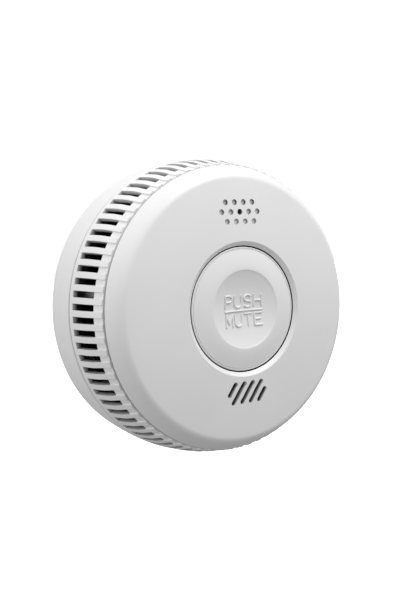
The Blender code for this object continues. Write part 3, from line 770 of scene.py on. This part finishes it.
def build_rear_housing():
    """Tray with a band that widens towards the ring, a battery bay, bosses and bayonet slots."""
    wall_low, wall_high = HOUSING_LOW + 0.4, HOUSING_LOW + 2.2
    seam = RING_LOW - HOUSING_GROOVE
    lip_end = seam + 1.7
    band_end = seam - 0.25
    flare = 0.9
    band_steps = 12
    back = [
        (0.0, wall_low, 0.0),
        (46.0, wall_low, 0.0),
        (46.5, HOUSING_LOW, 0.0),
        (HOUSING_RADIUS - 0.95, HOUSING_LOW, 0.35),
    ]
    band = []
    for k in range(band_steps + 1):
        share = k / band_steps
        height = wall_low + (band_end - wall_low) * share
        band.append((HOUSING_RADIUS - flare * (1 - share) ** 1.6, height))
    inner = [
        (HOUSING_RADIUS - 0.25, seam),
        (LIP_INNER, seam),
        (LIP_INNER, lip_end),
        (45.8, lip_end),
        (45.8, wall_high),
        (0.0, wall_high),
    ]
    profile = rounded(back + [(*band[1], 0.0)])[:-1] + band[1:] + inner
    housing = turned("housing_shell", profile)

    bay_x, bay_top, bay_z = (-25.25, 26.9), 21.05, (-34.35, -7.15)
    bay_wall, bay_corner = 1.3, 1.6
    left, right = bay_x[0] - bay_wall, bay_x[1] + bay_wall
    bottom, top = bay_z[0] - bay_wall, bay_z[1] + bay_wall
    corners = [(x, z, bay_corner) for x, z in ((left, bottom), (right, bottom), (right, top), (left, top))]
    outside = bmesh.new()
    add_prism(outside, rounded(corners), wall_low + 0.5, bay_top + bay_wall)
    add_to(housing, "bay_outside", outside)

    bosses = bmesh.new()
    for degrees in SCREW_ANGLES:
        add_cylinder(bosses, on_circle(SCREW_CIRCLE, degrees), 3.0, (wall_high - 0.6, 12.0), 32)
    for place in ((29.0, 20.0), (-31.0, 4.0), (4.0, 33.0)):
        add_cylinder(bosses, place, 2.2, (wall_high - 0.6, 7.9), 24)
    add_to(housing, "bosses", bosses)

    inside = bmesh.new()
    add_box(inside, bay_x, (wall_low - 2, bay_top), bay_z)
    cut(housing, "bay_inside", inside)

    openings = bmesh.new()
    for centre in HOOK_ANGLES:
        add_prism(openings, bayonet_slot_outline(centre), wall_low - 1, wall_high + 1)
    cut(housing, "bayonet_slots", openings)

    head_radius = 2.5
    head_seat = 5.4
    past_boss = 13.0
    past_back = wall_low - 1
    holes = bmesh.new()
    for degrees in SCREW_ANGLES:
        stepped = [
            (0, past_boss),
            (SCREW_HOLE_RADIUS, past_boss),
            (SCREW_HOLE_RADIUS, head_seat),
            (head_radius, head_seat),
            (head_radius, past_back),
            (0, past_back),
        ]
        add_turned(holes, stepped, 28, on_circle(SCREW_CIRCLE, degrees))
    for contact_slot in ((10.7, 13.3), (17.1, 19.7)):
        add_box(holes, (24.6, 25.9), contact_slot, (bay_z[1] - 0.6, bay_z[1] + 2))
    cut(housing, "screw_holes", holes)
    finish_shading(housing)
    publish(housing, "housing", "alarm", "rear_housing")
    inside_radius = 47.2
    # Painted shade: the seam's floor is a darker grey and the faces inside the tray are black
    paint_faces(
        housing, "seam", lambda place: place.height > seam - 0.05 and place.radius > inside_radius
    )
    paint_faces(
        housing, "inside", lambda place: place.height > wall_high - 0.2 and place.radius < inside_radius
    )


def bayonet_slot_outline(hook_angle):
    """Arc slot: narrow where the hook locks, wide where its head passes after the twist."""
    half = HOOK_WIDTH / 2 + 1.2
    start = hook_angle - TWIST - half
    step = start + 2 * half
    end = hook_angle + half
    outline = arc_on_circle(HOOK_STEM[1] + 0.3, start, end, 12)
    outline += arc_on_circle(HOOK_STEM[0] - 0.3, end, step, 12)
    outline += arc_on_circle(HOOK_HEAD_INNER - 0.3, step, start, 6)
    return outline


# ---------------------------------------------------------------- wall bracket


def build_bracket():
    """Plate with a rolled rim, three hooks, two keyholes and rings of pockets in its back."""
    plate = HOUSING_LOW - 0.3
    profile = rounded(
        [
            (0.0, plate, 0.0),
            (BRACKET_RADIUS, plate, 0.45),
            (BRACKET_RADIUS, 0.0, 0.35),
            (0.0, 0.0, 0.0),
        ]
    )
    bracket = turned("wall_plate", profile)

    head_low = HOOK_TOP - 1.6
    stem_inner, stem_outer = HOOK_STEM
    section = [
        (stem_inner, plate - 0.9),
        (stem_outer, plate - 0.9),
        (stem_outer, HOOK_TOP),
        (HOOK_HEAD_INNER, HOOK_TOP),
        (HOOK_HEAD_INNER, head_low),
        (stem_inner, head_low),
    ]
    hooks = bmesh.new()
    for centre in HOOK_ANGLES:
        add_arc_solid(hooks, section, centre - HOOK_WIDTH / 2, centre + HOOK_WIDTH / 2, 8)
    add_to(bracket, "hooks", hooks)

    pockets = bmesh.new()
    pocket_depth = 0.6
    rib_half = 57.3 * 0.6  # degrees that half a rib covers at a radius of 1 mm
    for inner, outer, count in ((8.0, 20.5, 6), (37.0, 46.0, 12)):
        for i in range(count):
            centre = 360 * (i + 0.5) / count
            half = 180 / count - rib_half / inner
            section = [(inner, -1.0), (outer, -1.0), (outer, pocket_depth), (inner, pocket_depth)]
            add_arc_solid(pockets, section, centre - half, centre + half, 10)
    cut(bracket, "pockets", pockets)

    keyholes = bmesh.new()
    for side in (-1, 1):
        add_prism(keyholes, keyhole_outline(side * KEYHOLE_X), -1, plate + 1)
    cut(bracket, "keyholes", keyholes)
    soften_edges(bracket)
    finish_shading(bracket)
    publish(bracket, "bracket", "bracket", "mounting_bracket")


def keyhole_outline(x):
    """A round head with a slot rising from it to a round end."""
    corner = math.degrees(math.acos(KEYHOLE_SLOT_HALF / KEYHOLE_HEAD_RADIUS))
    head = arc_on_circle(KEYHOLE_HEAD_RADIUS, 180 - corner, 360 + corner, 32)
    slot_end = arc_on_circle(KEYHOLE_SLOT_HALF, 0, 180, 16)
    return [(x + dx, dz) for dx, dz in head] + [(x + dx, KEYHOLE_RISE + dz) for dx, dz in slot_end]


# ---------------------------------------------------------------- button and lettering


def dish_height(radius):
    """Height of the dish's floor, a shallow bowl that meets the shoulder at its rim."""
    share = min(radius / DISH_RADIUS, 1.0)
    return DISH_FLOOR + (DISH_RIM - DISH_FLOOR) * share**2


def build_button():
    """Cap with a dish, a shoulder, a fine groove inside its edge, a skirt and a stem to the switch."""
    plate = UNDERSIDE + 0.1
    skirt = plate - 1.4
    edge = BUTTON_TOP - SHOULDER_DROP
    groove = BUTTON_RADIUS - 0.8
    dish_radii = (0.0, 1.5, 3.0, 4.5, 6.0, 7.5, 9.0, 10.2, 11.2, 11.9, DISH_RADIUS)
    profile = [(r, dish_height(r)) for r in dish_radii]
    profile += [(DISH_RADIUS + 0.12, BUTTON_TOP - 0.03), (SHOULDER_START, BUTTON_TOP)]
    shoulder_steps = 14
    for k in range(1, shoulder_steps + 1):
        share = k / shoulder_steps
        radius = SHOULDER_START + (groove - SHOULDER_START) * share
        profile.append((radius, BUTTON_TOP - SHOULDER_DROP * share**1.5))
    profile += [
        (groove + 0.10, edge - 0.26),
        (groove + 0.26, edge - 0.26),
        (groove + 0.36, edge - 0.06),
        (BUTTON_RADIUS - 0.26, edge - 0.09),
        (BUTTON_RADIUS - 0.08, edge - 0.20),
        (BUTTON_RADIUS, edge - 0.42),
        (BUTTON_RADIUS, skirt),
        (BUTTON_RADIUS - 1.2, skirt),
        (BUTTON_RADIUS - 1.2, plate),
        (0.0, plate),
    ]
    button = turned("button_cap", profile, 200)
    stem = bmesh.new()
    add_cylinder(stem, (10.0, 4.0), 2.0, (17.5, plate + 0.6), 32)
    add_to(button, "stem", stem)
    finish_shading(button, 24.0)
    publish(button, "button", "button", "test_button")

    def is_skirt_or_back(place):
        return place.height < edge - 0.5 and (place.radius > DISH_RADIUS or place.back > 0.2)

    # Painted shade: the skirt and the back below the edge are black
    paint_faces(button, "inside", is_skirt_or_back)


def arc(centre, radii, start, end, steps=14):
    """Points along part of an ellipse, angles in degrees."""
    angles = [math.radians(start + (end - start) * k / steps) for k in range(steps + 1)]
    return [(centre[0] + radii[0] * math.cos(a), centre[1] + radii[1] * math.sin(a)) for a in angles]


# Each letter's strokes in a box one unit wide and high, its foot at 0
P_BOWL = arc((0.55, 0.74), (0.45, 0.26), 80, -80)
LETTERS = {
    "P": ([(0.0, 0.0), (0.0, 1.0), (0.55, 1.0)] + P_BOWL + [(0.55, 0.48), (0.1, 0.48)],),
    "U": ([(0.0, 1.0)] + arc((0.5, 0.36), (0.5, 0.36), 180, 360) + [(1.0, 1.0)],),
    "S": (arc((0.5, 0.74), (0.46, 0.26), 25, 270) + arc((0.5, 0.25), (0.5, 0.25), 80, -155),),
    "H": ([(0.0, 0.0), (0.0, 1.0)], [(1.0, 0.0), (1.0, 1.0)], [(0.1, 0.5), (0.9, 0.5)]),
    "M": ([(0.0, 0.0), (0.0, 1.0), (0.5, 0.25), (1.0, 1.0), (1.0, 0.0)],),
    "T": ([(0.0, 1.0), (1.0, 1.0)], [(0.5, 0.9), (0.5, 0.0)]),
    "E": ([(1.0, 1.0), (0.0, 1.0), (0.0, 0.0), (1.0, 0.0)], [(0.1, 0.5), (0.85, 0.5)]),
}


def build_lettering():
    """Two raised words over and under a divider bar, following the dish's floor."""
    bar = [(-WORD_WIDTH / 2, DIVIDER_Z), (WORD_WIDTH / 2, DIVIDER_Z)]
    pieces = {
        "upper_word": word_strokes("PUSH", 0.55, 4.45),
        "lower_word": word_strokes("MUTE", -5.5, -1.6),
        "divider_bar": [bar],
    }
    for name, strokes in pieces.items():
        piece = ridges(name, strokes)
        finish_shading(piece, 60.0)
        publish(piece, "lettering", "button")


def word_strokes(word, foot, head):
    """The letters' strokes spread over the word's width, as lists of (x, z) points."""
    pitch = (WORD_WIDTH - STROKE_WIDTH) / (len(word) - 1 + LETTER_SHARE)
    left = (STROKE_WIDTH - WORD_WIDTH) / 2
    strokes = []
    for place, letter in enumerate(word):
        for stroke in LETTERS[letter]:
            points = []
            for across, rise in stroke:
                points.append((left + pitch * (place + LETTER_SHARE * across), foot + (head - foot) * rise))
            strokes.append(points)
    return strokes


def ridges(name, strokes):
    """Rounded raised lines on the dish's floor: tubes half sunk in it and flattened to the relief."""
    curve = bpy.data.curves.new(name, "CURVE")
    curve.dimensions = "3D"
    curve.bevel_depth = STROKE_WIDTH / 2 * MM
    curve.bevel_resolution = 3
    curve.use_fill_caps = True
    for stroke in strokes:
        points = []
        for (x0, z0), (x1, z1) in zip(stroke, stroke[1:]):
            pieces = max(1, round(math.hypot(x1 - x0, z1 - z0) / 0.6))
            points += [(x0 + (x1 - x0) * k / pieces, z0 + (z1 - z0) * k / pieces) for k in range(pieces)]
        points.append(stroke[-1])
        spline = curve.splines.new("POLY")
        spline.points.add(len(points) - 1)
        for target, (x, z) in zip(spline.points, points):
            target.co = (*point(x, 0.0, z), 1.0)
    line = bpy.data.objects.new(name + "_line", curve)
    bpy.context.scene.collection.objects.link(line)
    graph = bpy.context.evaluated_depsgraph_get()
    mesh = bpy.data.meshes.new_from_object(line.evaluated_get(graph))
    bpy.data.objects.remove(line)
    flatten = STROKE_RELIEF / (STROKE_WIDTH / 2)
    for vertex in mesh.vertices:
        x, height, z = vertex.co.x / MM, -vertex.co.y / MM, vertex.co.z / MM
        vertex.co = point(x, flatten * height + dish_height(math.hypot(x, z)), z)
    raised = bpy.data.objects.new(name, mesh)
    bpy.context.scene.collection.objects.link(raised)
    return raised


# ---------------------------------------------------------------- inner CAD nodes


def dress_inner_nodes():
    """Looks for the nodes that keep their CAD shape. Screws and contacts are plain steel."""
    casing = ("front_cover", "vent_ring", "rear_housing", "mounting_bracket", "test_button")
    looks = {
        "circuit_board": "board",
        "microcontroller": "black",
        "transistor": "black",
        "chamber_base": "black",
        "chamber_lid": "black",
        "photodiode": "black",
        "horn_cap": "black",
        "horn_chamber": "black",
        "switch_plunger": "black",
        "horn_coil": "copper",
        "capacitor_large": "sleeve",
        "capacitor_small": "sleeve",
        "switch_body": "steel",
        "status_led": "red",
        "light_pipe": "clear",
        "infrared_led": "clear",
        "insect_screen": "screen",
        "piezo_disc": "brass",
        "horn_wire_red": "red_wire",
        "horn_wire_black": "black_wire",
        "battery_case": "battery",
    }
    for name, node in frame["nodes"].items():
        if name not in casing:
            dress(node, looks.get(name, "steel"))


# ---------------------------------------------------------------- stage, light and camera


def build_stage():
    """Pale floor, which throws no light of its own on the alarm."""
    mesh = bpy.data.meshes.new("floor")
    bm = bmesh.new()
    bmesh.ops.create_grid(bm, x_segments=1, y_segments=1, size=6.0)
    bm.to_mesh(mesh)
    bm.free()
    floor = bpy.data.objects.new("floor", mesh)
    floor.location = (0.0, 0.0, -0.30)
    bpy.context.scene.collection.objects.link(floor)
    nodes = Nodes("pale_floor")
    tone = nodes.blend(nodes.noise(3.0), grey(0.90), grey(0.94))
    nodes.set(Base_Color=tone, Roughness=0.9, Emission_Color=grey(1.0), Emission_Strength=1.0)
    mesh.materials.append(nodes.material)
    floor.visible_diffuse = False
    floor.visible_glossy = False


def area_light(name, location, target, size, power):
    data = bpy.data.lights.new(name, "AREA")
    data.shape = "RECTANGLE"
    data.size, data.size_y = size
    data.energy = power
    light = bpy.data.objects.new(name, data)
    light.location = location
    light.rotation_mode = "QUATERNION"
    light.rotation_quaternion = (Vector(target) - Vector(location)).to_track_quat("-Z", "Y")
    bpy.context.scene.collection.objects.link(light)
    return light


def build_light():
    """Softbox high in front, a second one left behind, and a world that is brighter above."""
    middle = (0.0, -0.02, 0.0)
    area_light("key_softbox", (0.20, -0.50, 0.85), middle, (0.6, 0.6), 6.0)
    area_light("left_softbox", (-0.95, 0.42, 0.15), middle, (0.5, 0.9), 3.1)

    world = bpy.data.worlds.new("studio")
    bpy.context.scene.world = world
    world.use_nodes = True
    tree = world.node_tree
    ambient = tree.nodes["Background"]
    place = tree.nodes.new("ShaderNodeTexCoord")
    split = tree.nodes.new("ShaderNodeSeparateXYZ")
    ramp = tree.nodes.new("ShaderNodeMapRange")
    ramp.interpolation_type = "SMOOTHSTEP"
    ramp.inputs["From Min"].default_value = -0.35
    ramp.inputs["From Max"].default_value = 0.60
    ramp.inputs["To Min"].default_value = 0.35
    ramp.inputs["To Max"].default_value = 0.88
    white = tree.nodes.new("ShaderNodeBackground")
    white.inputs["Strength"].default_value = 1.0
    seen = tree.nodes.new("ShaderNodeLightPath")
    choose = tree.nodes.new("ShaderNodeMixShader")
    tree.links.new(place.outputs["Generated"], split.inputs["Vector"])
    tree.links.new(split.outputs["Z"], ramp.inputs["Value"])
    tree.links.new(ramp.outputs["Result"], ambient.inputs["Strength"])
    ambient.inputs["Color"].default_value = grey(1.0)
    white.inputs["Color"].default_value = grey(1.0)
    tree.links.new(seen.outputs["Is Camera Ray"], choose.inputs["Fac"])
    tree.links.new(ambient.outputs["Background"], choose.inputs[1])
    tree.links.new(white.outputs["Background"], choose.inputs[2])
    tree.links.new(choose.outputs["Shader"], tree.nodes["World Output"].inputs["Surface"])
    bpy.context.scene.view_settings.view_transform = "Standard"


def build_camera():
    """Camera left of the alarm and slightly above, rolled a little, as in a product shot."""
    azimuth, elevation, roll = (math.radians(a) for a in (33.39, 4.34, -2.405))
    distance, shift_right, shift_down = 0.32666, -0.010326, 0.0009626
    pivot = Vector((0.0, 0.0033859, 0.0))
    back = Vector((-math.sin(azimuth) * math.cos(elevation), -math.cos(azimuth) * math.cos(elevation),
                   math.sin(elevation)))
    level_right = Vector((math.cos(azimuth), -math.sin(azimuth), 0.0))
    level_up = back.cross(level_right)
    right = level_right * math.cos(roll) + level_up * math.sin(roll)
    up = level_up * math.cos(roll) - level_right * math.sin(roll)
    data = bpy.data.cameras.new("camera")
    data.lens = 53.91
    data.sensor_width = 36.0
    camera = bpy.data.objects.new("camera", data)
    location = pivot + back * distance - right * shift_right + up * shift_down
    camera.matrix_world = Matrix.Translation(location) @ Matrix((right, up, back)).transposed().to_4x4()
    bpy.context.scene.collection.objects.link(camera)
    bpy.context.scene.camera = camera


# ---------------------------------------------------------------- making it


build_camera()
build_stage()
build_light()
build_front_cover()
build_vent_ring()
build_rear_housing()
build_bracket()
build_button()
build_lettering()
dress_inner_nodes()
